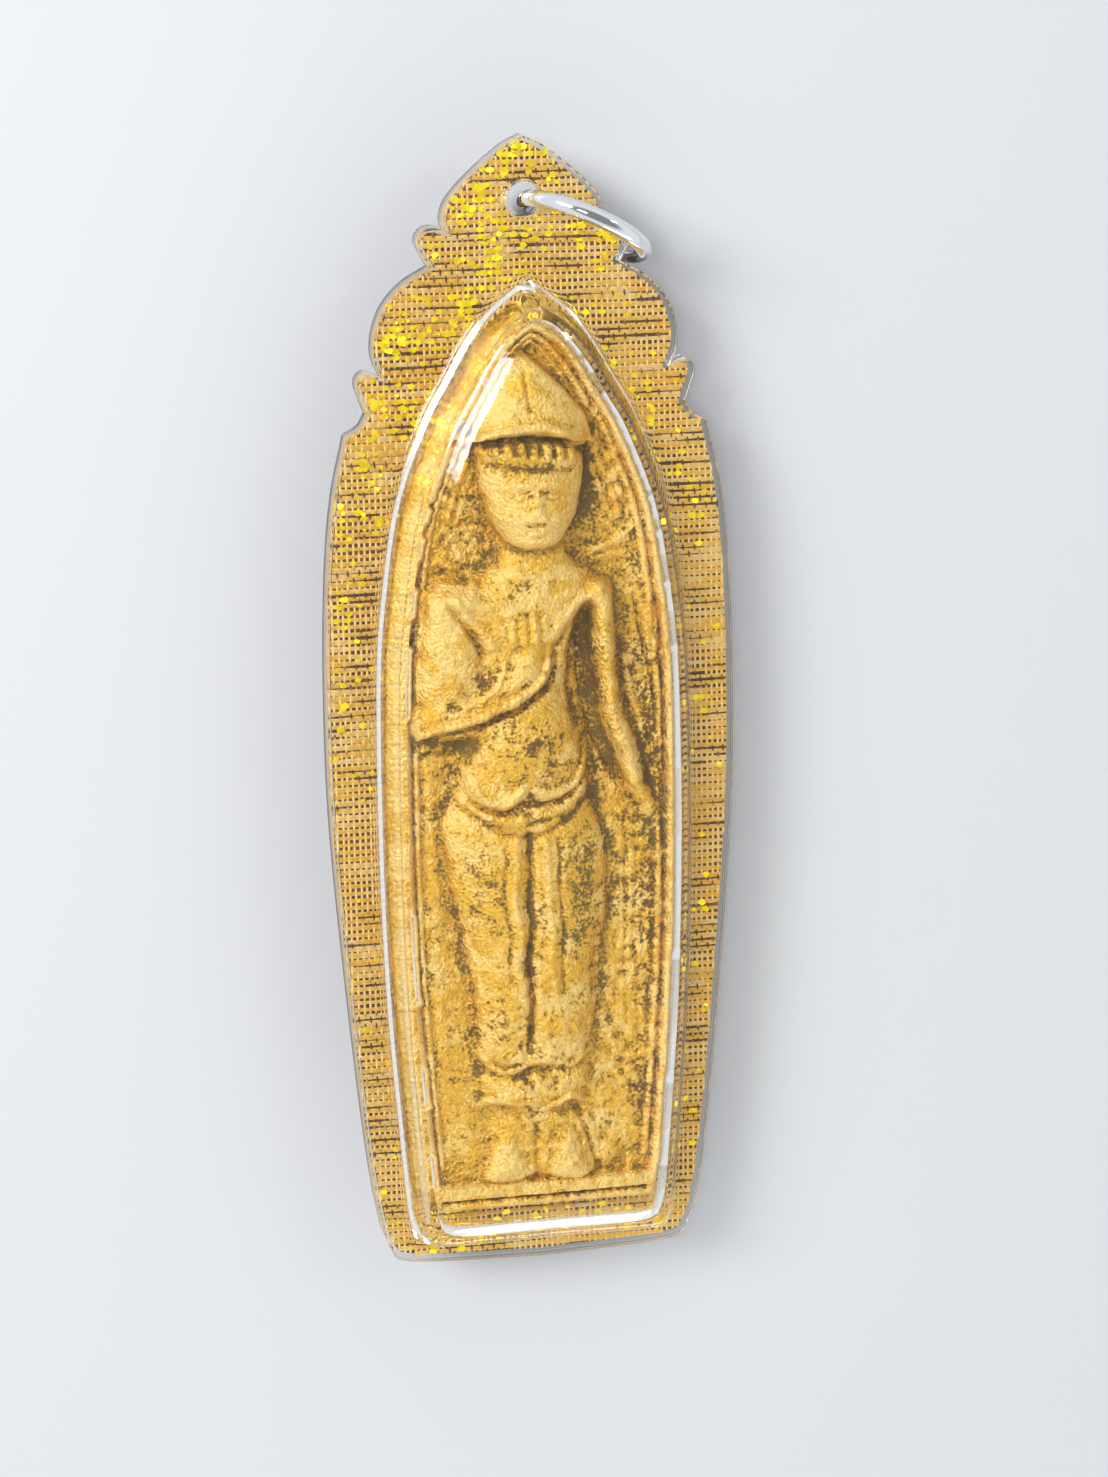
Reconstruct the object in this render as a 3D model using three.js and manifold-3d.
// A cast amulet in a clear two-shell case, lying on its back, with its jump ring in place.
// Millimetres. The case's tip points to +Y and its front faces +Z.
// The origin is at the middle of the footprint, on the surface that the back dome rests on.
import * as THREE from 'three';
import { mergeVertices } from 'three/addons/utils/BufferGeometryUtils.js';
import Module from 'manifold-3d';

const wasm = await Module();
wasm.setup();

// Case, seen from the front
const CASE_LENGTH = 80;
const CASE_WIDTH = 28.8;
const FLANGE_MARGIN = 3.2;
const DOME_FROM_TIP = 9.4;
const DOME_FROM_FOOT = 1.9;

// Case, through its thickness
const FRONT_FLANGE = 0.9;
const BACK_FLANGE = 0.9;
const CLOTH_THICKNESS = 0.3;
const LAYER_GAP = 0.05;
const BACK_DOME_HEIGHT = 3.9;
const FRONT_DOME_HEIGHT = 5.3;
const SHELL_WALL = 0.9;
const FRONT_SHOULDER = 2.5;
const BACK_SHOULDER = 1.9;

// Cloth between the flanges
const CLOTH_MARGIN = 0.35;
const CLOTH_CLEARANCE = 0.3;

// Tablet
const TABLET_SIDE_CLEARANCE = 0.3;
const TABLET_END_GAP = 2.5;
const TABLET_BACK_CLEARANCE = 0.3;
const TABLET_THICKNESS = 5.5;
const TABLET_BACK_BEVEL = 1.6;
const RELIEF_HEIGHT = 3.1;
const RIM_HEIGHT = 0.8;
const RIM_WIDTH = 1.1;
const GROUND_ROLL = 0.35;

// Jump ring and its hole
const HOLE_DIAMETER = 2.5;
const HOLE_FROM_TIP = 4.3;
const RING_WIRE = 1.2;
const RING_EDGE_GAP = 0.65;
const RING_SEAT_SHIFT = 0.15;
const RING_TURN_DEG = -27;
const RING_LEAN_DEG = 14;

// Levels above the surface that the case lies on
const BACK_FLANGE_TOP = BACK_DOME_HEIGHT + BACK_FLANGE;
const CLOTH_BOTTOM = BACK_FLANGE_TOP + LAYER_GAP;
const FRONT_FLANGE_BOTTOM = CLOTH_BOTTOM + CLOTH_THICKNESS + LAYER_GAP;
const FRONT_FLANGE_TOP = FRONT_FLANGE_BOTTOM + FRONT_FLANGE;
const TABLET_BACK = SHELL_WALL + TABLET_BACK_CLEARANCE;
const TABLET_GROUND = TABLET_BACK + TABLET_THICKNESS;
const LAYERS_MIDDLE = (BACK_DOME_HEIGHT + FRONT_FLANGE_TOP) / 2;

// Facets
const CASE_STEP = 1.7;
const DOME_STEP = 3.6;
const HOLE_FACETS = 20;
const SHARPEST_MITRE = 1.6;
const RING_FACETS = 32;
const WIRE_FACETS = 8;
const RELIEF_COLUMNS = 32;
const RELIEF_ROWS = 68;

// Right-hand half of the case's outline, from the tip down to the middle of the foot.
// across is a share of half the case's width, up a share of its length.
const CASE_OUTLINE = [
  { across: 0.0, up: 1.0, corner: true },
  { across: 0.1, up: 0.991 },
  { across: 0.25, up: 0.969 },
  { across: 0.361, up: 0.9475 },
  { across: 0.392, up: 0.93 },
  { across: 0.368, up: 0.919 },
  { across: 0.319, up: 0.915, corner: true },
  { across: 0.417, up: 0.925 },
  { across: 0.485, up: 0.9235 },
  { across: 0.517, up: 0.9135 },
  { across: 0.49, up: 0.902 },
  { across: 0.458, up: 0.891, corner: true },
  { across: 0.576, up: 0.879 },
  { across: 0.667, up: 0.8625 },
  { across: 0.715, up: 0.845 },
  { across: 0.736, up: 0.8275 },
  { across: 0.729, up: 0.8125 },
  { across: 0.694, up: 0.799, corner: true },
  { across: 0.778, up: 0.8045 },
  { across: 0.82, up: 0.795 },
  { across: 0.8, up: 0.782 },
  { across: 0.771, up: 0.7675, corner: true },
  { across: 0.806, up: 0.757 },
  { across: 0.875, up: 0.75, corner: true },
  { across: 0.944, up: 0.694 },
  { across: 0.983, up: 0.6225 },
  { across: 1.0, up: 0.519 },
  { across: 0.99, up: 0.4075 },
  { across: 0.934, up: 0.265 },
  { across: 0.861, up: 0.1225 },
  { across: 0.806, up: 0.051 },
  { across: 0.757, up: 0.021 },
  { across: 0.65, up: 0.0055 },
  { across: 0.0, up: 0.0, corner: true },
];

// Right-hand half of the dome's outline where it leaves the flange, in shares of the dome's
// half width and length.
const DOME_OUTLINE = [
  { across: 0.0, up: 1.0, corner: true },
  { across: 0.259, up: 0.9665 },
  { across: 0.411, up: 0.9345 },
  { across: 0.527, up: 0.901 },
  { across: 0.661, up: 0.862 },
  { across: 0.848, up: 0.78 },
  { across: 0.946, up: 0.686 },
  { across: 0.991, up: 0.598 },
  { across: 1.0, up: 0.424 },
  { across: 0.973, up: 0.2635 },
  { across: 0.911, up: 0.118 },
  { across: 0.866, up: 0.036, corner: true },
  { across: 0.83, up: 0.011 },
  { across: 0.73, up: 0.0, corner: true },
  { across: 0.0, up: 0.0, corner: true },
];

// Section of each dome from the flange to its crown: inset is a share of the shoulder's
// width, measured in from the dome's outline, and rise a share of the dome's height.
const FRONT_SECTION = [
  { inset: 0.0, rise: 0.0 },
  { inset: 0.14, rise: 0.3 },
  { inset: 0.28, rise: 0.58 },
  { inset: 0.44, rise: 0.78 },
  { inset: 0.68, rise: 0.89 },
  { inset: 1.0, rise: 0.94 },
];
const BACK_SECTION = [
  { inset: 0.0, rise: 0.0 },
  { inset: 0.16, rise: 0.4 },
  { inset: 0.33, rise: 0.7 },
  { inset: 0.6, rise: 0.9 },
  { inset: 1.0, rise: 1.0 },
];

// The front crown rises towards the dome's middle line: shrink is the ring's share of the
// shoulder ring, rise a share of the dome's height.
const FRONT_CROWN = [
  { shrink: 0.7, rise: 0.975 },
  { shrink: 0.35, rise: 0.995 },
];

// Strokes of the cast relief, each from one point to another with its half width and height
// at both ends. Places are shares of the tablet's half width and length, widths are shares of
// its half width, heights are shares of the relief's height.
const RELIEF_STROKES = [
  { part: 'head', x0: -0.03, y0: 0.772, x1: -0.03, y1: 0.85, w0: 0.3, w1: 0.35, h0: 0.9, h1: 0.95 },
  { part: 'cap', x0: -0.03, y0: 0.868, x1: -0.03, y1: 0.94, w0: 0.38, w1: 0.1, h0: 1.0, h1: 0.72 },
  { part: 'brim', x0: -0.42, y0: 0.868, x1: -0.03, y1: 0.878, w0: 0.06, w1: 0.08, h0: 0.8, h1: 1.0 },
  { part: 'brim', x0: 0.36, y0: 0.868, x1: -0.03, y1: 0.878, w0: 0.06, w1: 0.08, h0: 0.8, h1: 1.0 },
  { part: 'ear', x0: -0.37, y0: 0.845, x1: -0.36, y1: 0.765, w0: 0.07, w1: 0.07, h0: 0.6, h1: 0.5 },
  { part: 'ear', x0: 0.31, y0: 0.845, x1: 0.3, y1: 0.765, w0: 0.07, w1: 0.07, h0: 0.6, h1: 0.5 },
  { part: 'neck', x0: -0.03, y0: 0.75, x1: -0.03, y1: 0.7, w0: 0.22, w1: 0.3, h0: 0.6, h1: 0.7 },
  { part: 'shoulders', x0: -0.58, y0: 0.688, x1: 0.46, y1: 0.688, w0: 0.17, w1: 0.17, h0: 0.72, h1: 0.72 },
  { part: 'chest', x0: -0.24, y0: 0.66, x1: 0.22, y1: 0.66, w0: 0.34, w1: 0.34, h0: 0.8, h1: 0.85 },
  { part: 'torso', x0: -0.03, y0: 0.65, x1: 0.02, y1: 0.54, w0: 0.45, w1: 0.36, h0: 0.76, h1: 0.85 },
  { part: 'belly', x0: -0.02, y0: 0.535, x1: 0.04, y1: 0.52, w0: 0.38, w1: 0.38, h0: 0.97, h1: 0.97 },
  { part: 'upper_arm', x0: -0.62, y0: 0.685, x1: -0.74, y1: 0.56, w0: 0.14, w1: 0.12, h0: 0.72, h1: 0.6 },
  { part: 'forearm', x0: -0.73, y0: 0.552, x1: -0.3, y1: 0.585, w0: 0.12, w1: 0.12, h0: 0.62, h1: 0.82 },
  { part: 'wrist', x0: -0.3, y0: 0.585, x1: -0.05, y1: 0.63, w0: 0.12, w1: 0.15, h0: 0.82, h1: 1.0 },
  { part: 'hand', x0: -0.05, y0: 0.635, x1: -0.03, y1: 0.672, w0: 0.17, w1: 0.15, h0: 1.0, h1: 0.95 },
  { part: 'long_arm', x0: 0.47, y0: 0.69, x1: 0.56, y1: 0.56, w0: 0.13, w1: 0.1, h0: 0.72, h1: 0.62 },
  { part: 'long_arm', x0: 0.56, y0: 0.56, x1: 0.73, y1: 0.455, w0: 0.1, w1: 0.09, h0: 0.62, h1: 0.55 },
  { part: 'long_hand', x0: 0.73, y0: 0.455, x1: 0.77, y1: 0.405, w0: 0.09, w1: 0.1, h0: 0.55, h1: 0.5 },
  { part: 'belt', x0: -0.52, y0: 0.515, x1: -0.33, y1: 0.472, w0: 0.07, w1: 0.08, h0: 0.78, h1: 0.92 },
  { part: 'belt', x0: -0.33, y0: 0.472, x1: -0.03, y1: 0.456, w0: 0.08, w1: 0.08, h0: 0.92, h1: 1.0 },
  { part: 'belt', x0: -0.03, y0: 0.456, x1: 0.22, y1: 0.47, w0: 0.08, w1: 0.08, h0: 1.0, h1: 0.92 },
  { part: 'belt', x0: 0.22, y0: 0.47, x1: 0.4, y1: 0.515, w0: 0.08, w1: 0.07, h0: 0.92, h1: 0.78 },
  { part: 'leg', x0: -0.34, y0: 0.43, x1: -0.34, y1: 0.18, w0: 0.22, w1: 0.19, h0: 0.76, h1: 0.7 },
  { part: 'leg', x0: 0.2, y0: 0.43, x1: 0.17, y1: 0.18, w0: 0.24, w1: 0.22, h0: 0.76, h1: 0.7 },
  { part: 'pleat', x0: -0.1, y0: 0.44, x1: -0.11, y1: 0.16, w0: 0.1, w1: 0.09, h0: 0.84, h1: 0.74 },
  { part: 'hem', x0: -0.5, y0: 0.172, x1: 0.4, y1: 0.168, w0: 0.09, w1: 0.09, h0: 0.64, h1: 0.64 },
  { part: 'lower_hem', x0: -0.36, y0: 0.13, x1: 0.32, y1: 0.128, w0: 0.15, w1: 0.15, h0: 0.55, h1: 0.55 },
  { part: 'foot', x0: -0.12, y0: 0.1, x1: -0.26, y1: 0.055, w0: 0.13, w1: 0.12, h0: 0.6, h1: 0.56 },
  { part: 'foot', x0: 0.1, y0: 0.1, x1: 0.26, y1: 0.055, w0: 0.13, w1: 0.12, h0: 0.6, h1: 0.56 },
  { part: 'ledge', x0: -0.84, y0: 0.034, x1: 0.86, y1: 0.028, w0: 0.09, w1: 0.09, h0: 0.55, h1: 0.55 },
  { part: 'robe_edge', x0: 0.54, y0: 0.71, x1: 0.77, y1: 0.56, w0: 0.06, w1: 0.06, h0: 0.38, h1: 0.3 },
  { part: 'robe_edge', x0: 0.77, y0: 0.56, x1: 0.8, y1: 0.13, w0: 0.06, w1: 0.06, h0: 0.3, h1: 0.25 },
  { part: 'robe_edge', x0: -0.7, y0: 0.73, x1: -0.84, y1: 0.56, w0: 0.06, w1: 0.06, h0: 0.38, h1: 0.3 },
  { part: 'robe_edge', x0: -0.84, y0: 0.56, x1: -0.84, y1: 0.13, w0: 0.06, w1: 0.06, h0: 0.3, h1: 0.25 },
  { part: 'palm', x0: -0.9, y0: 0.81, x1: -0.62, y1: 0.74, w0: 0.06, w1: 0.1, h0: 0.35, h1: 0.5 },
  { part: 'palm', x0: 0.88, y0: 0.8, x1: 0.55, y1: 0.74, w0: 0.06, w1: 0.1, h0: 0.35, h1: 0.5 },
];

// The mandorla is a pointed arch beside the head, in shares of the tablet's half width and
// length, with leaf strokes across it.
const MANDORLA = { foot: 0.73, peak: 0.965, half: 0.7, width: 0.06, height: 0.45 };
const LEAF_COUNT = 6;
const LEAF_SPREAD = 0.14;
const LEAF_DROP = 0.03;

// Outlines

function pointsThrough(table, half, length, step) {
  const rows = table.map((row) => ({
    point: new THREE.Vector2(row.across * half, row.up * length),
    corner: row.corner,
  }));
  const points = [rows[0].point];
  let stretch = [rows[0].point];
  for (const row of rows.slice(1)) {
    stretch.push(row.point);
    if (row.corner) {
      const curve = new THREE.SplineCurve(stretch);
      const pieces = Math.max(1, Math.round(curve.getLength() / step));
      points.push(...curve.getSpacedPoints(Math.max(pieces, stretch.length - 1)).slice(1));
      stretch = [row.point];
    }
  }
  return points;
}

// Adds the mirrored left half and runs the whole ring anticlockwise from the tip.
function closedOutline(half) {
  const left = half.map((point) => new THREE.Vector2(-point.x, point.y));
  return [...left, ...half.slice(1, -1).reverse()];
}

// Moves each point of an anticlockwise ring inwards along the mean normal of its two sides.
function insetOutline(ring, distance) {
  return ring.map((point, index) => {
    const before = ring[(index + ring.length - 1) % ring.length];
    const after = ring[(index + 1) % ring.length];
    const first = new THREE.Vector2(before.y - point.y, point.x - before.x).normalize();
    const second = new THREE.Vector2(point.y - after.y, after.x - point.x).normalize();
    const middle = first.clone().add(second).normalize();
    const reach = Math.min(SHARPEST_MITRE, 1 / middle.dot(first));
    return point.clone().addScaledVector(middle, distance * reach);
  });
}

function shiftOutline(ring, up) {
  return ring.map((point) => new THREE.Vector2(point.x, point.y + up));
}

// Widest distance from the middle line to a ring at a given height along the case.
function halfWidthAt(ring, y) {
  let widest = 0;
  ring.forEach((from, index) => {
    const to = ring[(index + 1) % ring.length];
    const crosses = (from.y - y) * (to.y - y) <= 0 && from.y !== to.y;
    if (crosses) {
      const x = from.x + ((to.x - from.x) * (y - from.y)) / (to.y - from.y);
      widest = Math.max(widest, Math.abs(x));
    }
  });
  return widest;
}

const caseHalf = pointsThrough(CASE_OUTLINE, CASE_WIDTH / 2, CASE_LENGTH, CASE_STEP);
const caseRing = closedOutline(caseHalf);
const domeHalfWidth = CASE_WIDTH / 2 - FLANGE_MARGIN;
const domeLength = CASE_LENGTH - DOME_FROM_TIP - DOME_FROM_FOOT;
const domeHalf = pointsThrough(DOME_OUTLINE, domeHalfWidth, domeLength, DOME_STEP);
const domeRing = shiftOutline(closedOutline(domeHalf), DOME_FROM_FOOT);
const holeY = CASE_LENGTH - HOLE_FROM_TIP;

// The tablet follows the inside of the dome's wall at its sides and stops short of both ends.
const pocketRing = insetOutline(domeRing, SHELL_WALL + TABLET_SIDE_CLEARANCE);
const pocketFoot = Math.min(...pocketRing.map((point) => point.y));
const pocketTip = Math.max(...pocketRing.map((point) => point.y));
const tabletFoot = DOME_FROM_FOOT + TABLET_END_GAP;
const tabletTip = CASE_LENGTH - DOME_FROM_TIP - TABLET_END_GAP;
const tabletLength = tabletTip - tabletFoot;
const tabletHalf = domeHalfWidth - SHELL_WALL - TABLET_SIDE_CLEARANCE;

function tabletHalfWidth(share) {
  const y = pocketFoot + share * (pocketTip - pocketFoot);
  return halfWidthAt(pocketRing, y);
}

// Solids

function cleanGeometry(geometry) {
  const bare = geometry.clone();
  bare.deleteAttribute('normal');
  bare.deleteAttribute('uv');
  return mergeVertices(bare, 1e-4);
}

function toManifold(geometry) {
  const clean = cleanGeometry(geometry);
  return new wasm.Manifold(new wasm.Mesh({
    numProp: 3,
    vertProperties: new Float32Array(clean.attributes.position.array),
    triVerts: new Uint32Array(clean.index.array),
  }));
}

function fromManifold(solid) {
  const mesh = solid.getMesh();
  const geometry = new THREE.BufferGeometry();
  geometry.setAttribute('position', new THREE.BufferAttribute(mesh.vertProperties, 3));
  geometry.setIndex(new THREE.BufferAttribute(mesh.triVerts, 1));
  geometry.computeVertexNormals();
  return geometry;
}

function meshFrom(points, faces) {
  const geometry = new THREE.BufferGeometry();
  geometry.setAttribute('position', new THREE.Float32BufferAttribute(points.flat(), 3));
  geometry.setIndex(faces.flat());
  geometry.computeVertexNormals();
  return geometry;
}

function plate(ring, holes, bottom, thickness) {
  const shape = new THREE.Shape(ring);
  shape.holes = holes.map((hole) => new THREE.Path(hole));
  const geometry = new THREE.ExtrudeGeometry(shape, { depth: thickness, bevelEnabled: false });
  geometry.translate(0, 0, bottom);
  return geometry;
}

function ringHole(diameter) {
  const circle = new THREE.Path();
  circle.absarc(0, holeY, diameter / 2, 0, Math.PI * 2, false);
  return circle.getPoints(HOLE_FACETS).slice(0, -1);
}

// Closed solid through rings of equal count, from the lowest level up.
function loft(levels) {
  const points = levels.flatMap((level) => level.ring.map((point) => [point.x, point.y, level.z]));
  const count = levels[0].ring.length;
  const faces = [];
  for (let level = 0; level < levels.length - 1; level += 1) {
    for (let index = 0; index < count; index += 1) {
      const next = (index + 1) % count;
      const a = level * count + index;
      const b = level * count + next;
      faces.push([a, b, b + count], [a, b + count, a + count]);
    }
  }
  addFan(points, faces, 0, count, true);
  addFan(points, faces, (levels.length - 1) * count, count, false);
  return meshFrom(points, faces);
}

// Closes a ring of points with triangles that meet at its middle.
function addFan(points, faces, first, count, facesDown) {
  const heights = points.slice(first, first + count).map((point) => point[1]);
  const middle = points.length;
  points.push([0, (Math.min(...heights) + Math.max(...heights)) / 2, points[first][2]]);
  for (let index = 0; index < count; index += 1) {
    const a = first + index;
    const b = first + ((index + 1) % count);
    faces.push(facesDown ? [b, a, middle] : [a, b, middle]);
  }
}

function shrinkRing(ring, share) {
  const middle = DOME_FROM_FOOT + domeLength / 2;
  return ring.map((point) => new THREE.Vector2(point.x * share, middle + (point.y - middle) * share));
}

// Levels of one dome face, rising from height zero at the flange. wall moves the face inwards
// for the inside of the shell, and root carries it back through the flange.
function domeLevels(dome, wall, root) {
  const rise = dome.height - wall;
  const levels = [{ ring: insetOutline(domeRing, wall), z: -root }];
  for (const row of dome.section) {
    const inset = wall + row.inset * dome.shoulder;
    levels.push({ ring: insetOutline(domeRing, inset), z: row.rise * rise });
  }
  const shoulderRing = levels[levels.length - 1].ring;
  for (const row of dome.crown) {
    levels.push({ ring: shrinkRing(shoulderRing, row.shrink), z: row.rise * rise });
  }
  return levels;
}

// Turns levels that rise from the flange into levels that stand on it or hang below it.
function placeLevels(levels, flangeFace, direction) {
  const placed = levels.map((level) => ({ ring: level.ring, z: flangeFace + direction * level.z }));
  return direction > 0 ? placed : placed.reverse();
}

function shellGeometry(flangeBottom, flange, dome, direction) {
  const flangeFace = direction > 0 ? flangeBottom + flange : flangeBottom;
  const outer = domeLevels(dome, 0, flange / 2);
  const inner = domeLevels(dome, SHELL_WALL, flange + LAYER_GAP);
  const flangePlate = plate(caseRing, [ringHole(HOLE_DIAMETER)], flangeBottom, flange);
  const domeSolid = toManifold(loft(placeLevels(outer, flangeFace, direction)));
  const hollow = toManifold(loft(placeLevels(inner, flangeFace, direction)));
  return fromManifold(toManifold(flangePlate).add(domeSolid).subtract(hollow));
}

function frontShellGeometry() {
  const dome = {
    section: FRONT_SECTION, shoulder: FRONT_SHOULDER, crown: FRONT_CROWN, height: FRONT_DOME_HEIGHT,
  };
  return shellGeometry(FRONT_FLANGE_BOTTOM, FRONT_FLANGE, dome, 1);
}

// The back dome has a flat outer face, so it needs no crown.
function backShellGeometry() {
  const dome = {
    section: BACK_SECTION, shoulder: BACK_SHOULDER, crown: [], height: BACK_DOME_HEIGHT,
  };
  return shellGeometry(BACK_DOME_HEIGHT, BACK_FLANGE, dome, -1);
}

// Tablet

function strokeHeight(stroke, x, y) {
  const alongX = stroke.x1 - stroke.x0;
  const alongY = (stroke.y1 - stroke.y0) * (tabletLength / tabletHalf);
  const fromX = x - stroke.x0;
  const fromY = (y - stroke.y0) * (tabletLength / tabletHalf);
  const square = alongX * alongX + alongY * alongY;
  const along = THREE.MathUtils.clamp((fromX * alongX + fromY * alongY) / square, 0, 1);
  const away = Math.hypot(fromX - along * alongX, fromY - along * alongY);
  const width = THREE.MathUtils.lerp(stroke.w0, stroke.w1, along);
  const height = THREE.MathUtils.lerp(stroke.h0, stroke.h1, along);
  return height * Math.sqrt(Math.max(0, 1 - (away / width) ** 2));
}

// Half width of the mandorla's arch at a share of the tablet's length: a pointed arch.
function mandorlaHalf(y) {
  const climb = THREE.MathUtils.clamp((y - MANDORLA.foot) / (MANDORLA.peak - MANDORLA.foot), 0, 1);
  return MANDORLA.half * (1 - climb ** 1.6);
}

function mandorlaStrokes() {
  const steps = LEAF_COUNT * 2;
  const strokes = [];
  for (const side of [-1, 1]) {
    for (let index = 0; index < steps; index += 1) {
      const y0 = THREE.MathUtils.lerp(MANDORLA.foot, MANDORLA.peak, index / steps);
      const y1 = THREE.MathUtils.lerp(MANDORLA.foot, MANDORLA.peak, (index + 1) / steps);
      strokes.push({
        x0: side * mandorlaHalf(y0), y0, x1: side * mandorlaHalf(y1), y1,
        w0: MANDORLA.width, w1: MANDORLA.width, h0: MANDORLA.height, h1: MANDORLA.height,
      });
    }
    for (let index = 0; index < LEAF_COUNT; index += 1) {
      const y0 = THREE.MathUtils.lerp(MANDORLA.foot, MANDORLA.peak, (index + 0.5) / LEAF_COUNT);
      const x0 = side * mandorlaHalf(y0);
      strokes.push({
        x0, y0, x1: x0 + side * LEAF_SPREAD, y1: y0 + LEAF_DROP,
        w0: MANDORLA.width, w1: MANDORLA.width / 2, h0: MANDORLA.height, h1: MANDORLA.height / 2,
      });
    }
  }
  return strokes;
}

const allStrokes = [...RELIEF_STROKES, ...mandorlaStrokes()];

// Height of the cast face above its ground. x and y are shares, edge is the distance in
// millimetres from the tablet's edge.
function reliefHeight(x, y, edge) {
  const inside = THREE.MathUtils.clamp(edge / RIM_WIDTH, 0, 1);
  const tallest = Math.max(...allStrokes.map((stroke) => strokeHeight(stroke, x, y)));
  const figure = RELIEF_HEIGHT * tallest * inside;
  const fromRim = Math.abs(edge - RIM_WIDTH / 2) / (RIM_WIDTH / 2);
  const rim = fromRim < 1 ? RIM_HEIGHT * Math.sqrt(1 - fromRim ** 2) : 0;
  const ground = GROUND_ROLL * (1 - x * x);
  return Math.max(figure, rim, ground);
}

function tabletGeometry() {
  const points = [];
  const rows = [];
  for (let row = 0; row < RELIEF_ROWS; row += 1) {
    const share = row / RELIEF_ROWS;
    const footRound = row === 0 ? RIM_WIDTH / 2 : 0;
    const half = tabletHalfWidth(Math.max(share, 0.5 / RELIEF_ROWS)) - footRound;
    const y = tabletFoot + share * tabletLength;
    const line = [];
    for (let column = 0; column <= RELIEF_COLUMNS; column += 1) {
      const across = (2 * column) / RELIEF_COLUMNS - 1;
      const x = across * half;
      const edge = Math.min(half - Math.abs(x), y - tabletFoot, (tabletTip - y) / 2);
      line.push(points.length);
      points.push([x, y, TABLET_GROUND + reliefHeight(x / tabletHalf, share, edge)]);
    }
    rows.push(line);
  }
  const tip = points.length;
  points.push([0, tabletTip, TABLET_GROUND]);
  const faces = [];
  for (let row = 0; row < RELIEF_ROWS - 1; row += 1) {
    for (let column = 0; column < RELIEF_COLUMNS; column += 1) {
      const a = rows[row][column];
      const b = rows[row][column + 1];
      const c = rows[row + 1][column + 1];
      const d = rows[row + 1][column];
      faces.push([a, b, c], [a, c, d]);
    }
  }
  const topRow = rows[RELIEF_ROWS - 1];
  for (let column = 0; column < RELIEF_COLUMNS; column += 1) {
    faces.push([topRow[column], topRow[column + 1], tip]);
  }
  const rim = [
    ...rows[0],
    ...rows.slice(1).map((line) => line[RELIEF_COLUMNS]),
    tip,
    ...rows.slice(1).reverse().map((line) => line[0]),
  ];
  addTabletBack(points, faces, rim);
  return meshFrom(points, faces);
}

// Carries the edge of the cast face down past the flanges, then in to the flat back.
function addTabletBack(points, faces, rim) {
  const plan = rim.map((index) => new THREE.Vector2(points[index][0], points[index][1]));
  const bevelled = plan.map((point) => new THREE.Vector2(
    point.x * (1 - TABLET_BACK_BEVEL / tabletHalf),
    tabletFoot + tabletLength / 2
      + (point.y - tabletFoot - tabletLength / 2) * (1 - (2 * TABLET_BACK_BEVEL) / tabletLength),
  ));
  const levels = [
    { ring: plan, z: BACK_DOME_HEIGHT },
    { ring: bevelled, z: TABLET_BACK },
  ];
  let above = rim;
  for (const level of levels) {
    const below = level.ring.map((point) => {
      points.push([point.x, point.y, level.z]);
      return points.length - 1;
    });
    above.forEach((index, place) => {
      const next = (place + 1) % above.length;
      faces.push([index, below[place], below[next]], [index, below[next], above[next]]);
    });
    above = below;
  }
  addFan(points, faces, above[0], above.length, true);
}

// Cloth

function clothGeometry() {
  const ring = insetOutline(caseRing, CLOTH_MARGIN);
  const windowRing = pocketRing.map((point) => new THREE.Vector2(
    point.x + Math.sign(point.x) * CLOTH_CLEARANCE,
    tabletFoot + ((point.y - pocketFoot) / (pocketTip - pocketFoot)) * tabletLength,
  ));
  const middle = tabletFoot + tabletLength / 2;
  const stretched = windowRing.map((point) => new THREE.Vector2(
    point.x,
    middle + (point.y - middle) * (1 + (2 * CLOTH_CLEARANCE) / tabletLength),
  ));
  const holes = [ringHole(HOLE_DIAMETER + 2 * LAYER_GAP), stretched];
  return plate(ring, holes, CLOTH_BOTTOM, CLOTH_THICKNESS);
}

// Jump ring

// Farthest point of the case's edge from the hole inside the strip that the wire sweeps.
function edgeReach(direction, halfStrip) {
  let reach = 0;
  caseRing.forEach((from, index) => {
    const to = caseRing[(index + 1) % caseRing.length];
    for (const share of [0, 0.25, 0.5, 0.75]) {
      const point = from.clone().lerp(to, share).sub(new THREE.Vector2(0, holeY));
      const along = point.dot(direction);
      const aside = Math.abs(point.cross(direction));
      if (aside < halfStrip && along > reach) {
        reach = along;
      }
    }
  });
  return reach;
}

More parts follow.
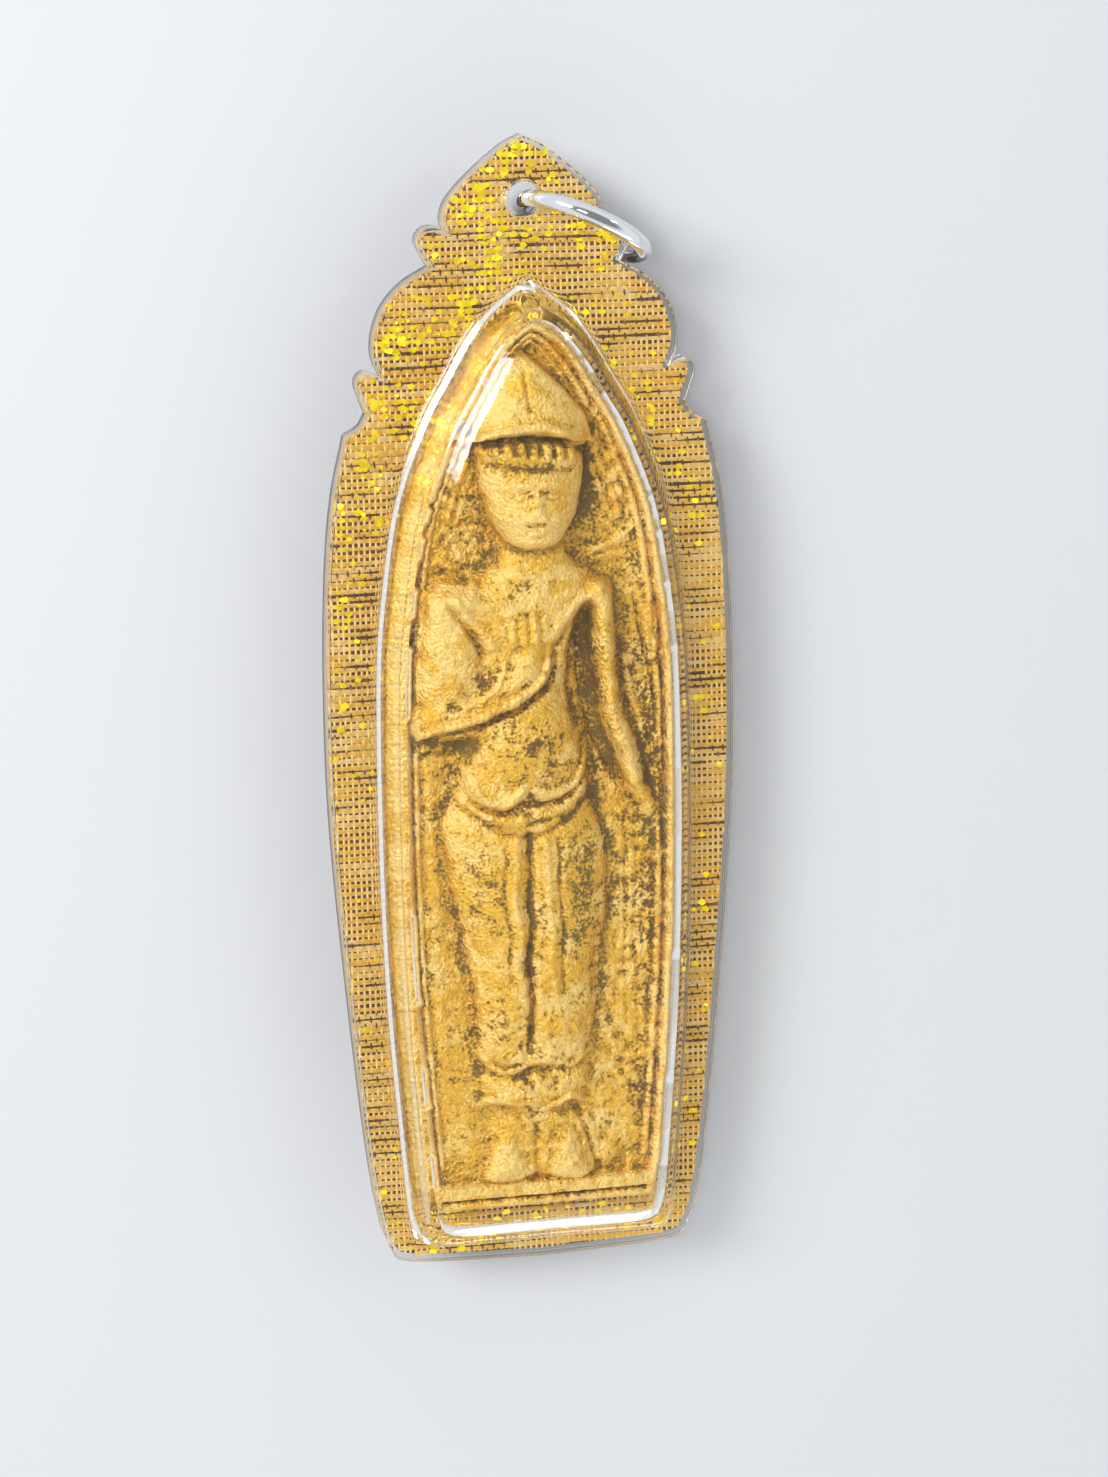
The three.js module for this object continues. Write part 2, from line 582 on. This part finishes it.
function jumpRingMesh(material) {
  const turn = THREE.MathUtils.degToRad(RING_TURN_DEG);
  const lean = THREE.MathUtils.degToRad(RING_LEAN_DEG);
  const direction = new THREE.Vector2(Math.cos(turn), Math.sin(turn));
  const halfLayers = (FRONT_FLANGE_TOP - BACK_DOME_HEIGHT) / 2;
  const halfStrip = RING_WIRE / 2 + halfLayers * Math.tan(lean);
  const reach = edgeReach(direction, halfStrip);
  const radius = (reach + RING_WIRE / 2 + RING_EDGE_GAP - RING_SEAT_SHIFT) / 2;
  const centre = RING_SEAT_SHIFT + radius;
  const geometry = new THREE.TorusGeometry(radius, RING_WIRE / 2, WIRE_FACETS, RING_FACETS);
  const ring = new THREE.Mesh(geometry, material);
  ring.rotation.x = Math.PI / 2 - lean;
  const arm = new THREE.Group();
  arm.add(ring);
  arm.rotation.z = turn;
  arm.position.set(direction.x * centre, holeY + direction.y * centre, LAYERS_MIDDLE);
  return { arm, ring };
}

// Materials

function clearAcrylic() {
  return new THREE.MeshStandardMaterial({
    color: '#eef0ee', roughness: 0.06, metalness: 0, transparent: true, opacity: 0.25,
  });
}

function wovenFilm() {
  return new THREE.MeshStandardMaterial({ color: '#c9a463', roughness: 0.45, metalness: 0.5 });
}

function castGilt() {
  return new THREE.MeshStandardMaterial({ color: '#b98f46', roughness: 0.55, metalness: 0.6 });
}

function brightSteel() {
  return new THREE.MeshStandardMaterial({ color: '#d4d6d8', roughness: 0.12, metalness: 1 });
}

function named(name, geometry, material) {
  const mesh = new THREE.Mesh(geometry, material);
  mesh.name = name;
  return mesh;
}

const amulet = new THREE.Group();
amulet.position.y = -CASE_LENGTH / 2;
amulet.add(named('front_shell', frontShellGeometry(), clearAcrylic()));
amulet.add(named('back_shell', backShellGeometry(), clearAcrylic()));
amulet.add(named('woven_cloth', clothGeometry(), wovenFilm()));
amulet.add(named('tablet', tabletGeometry(), castGilt()));
const { arm, ring } = jumpRingMesh(brightSteel());
ring.name = 'jump_ring';
amulet.add(arm);

export default amulet;
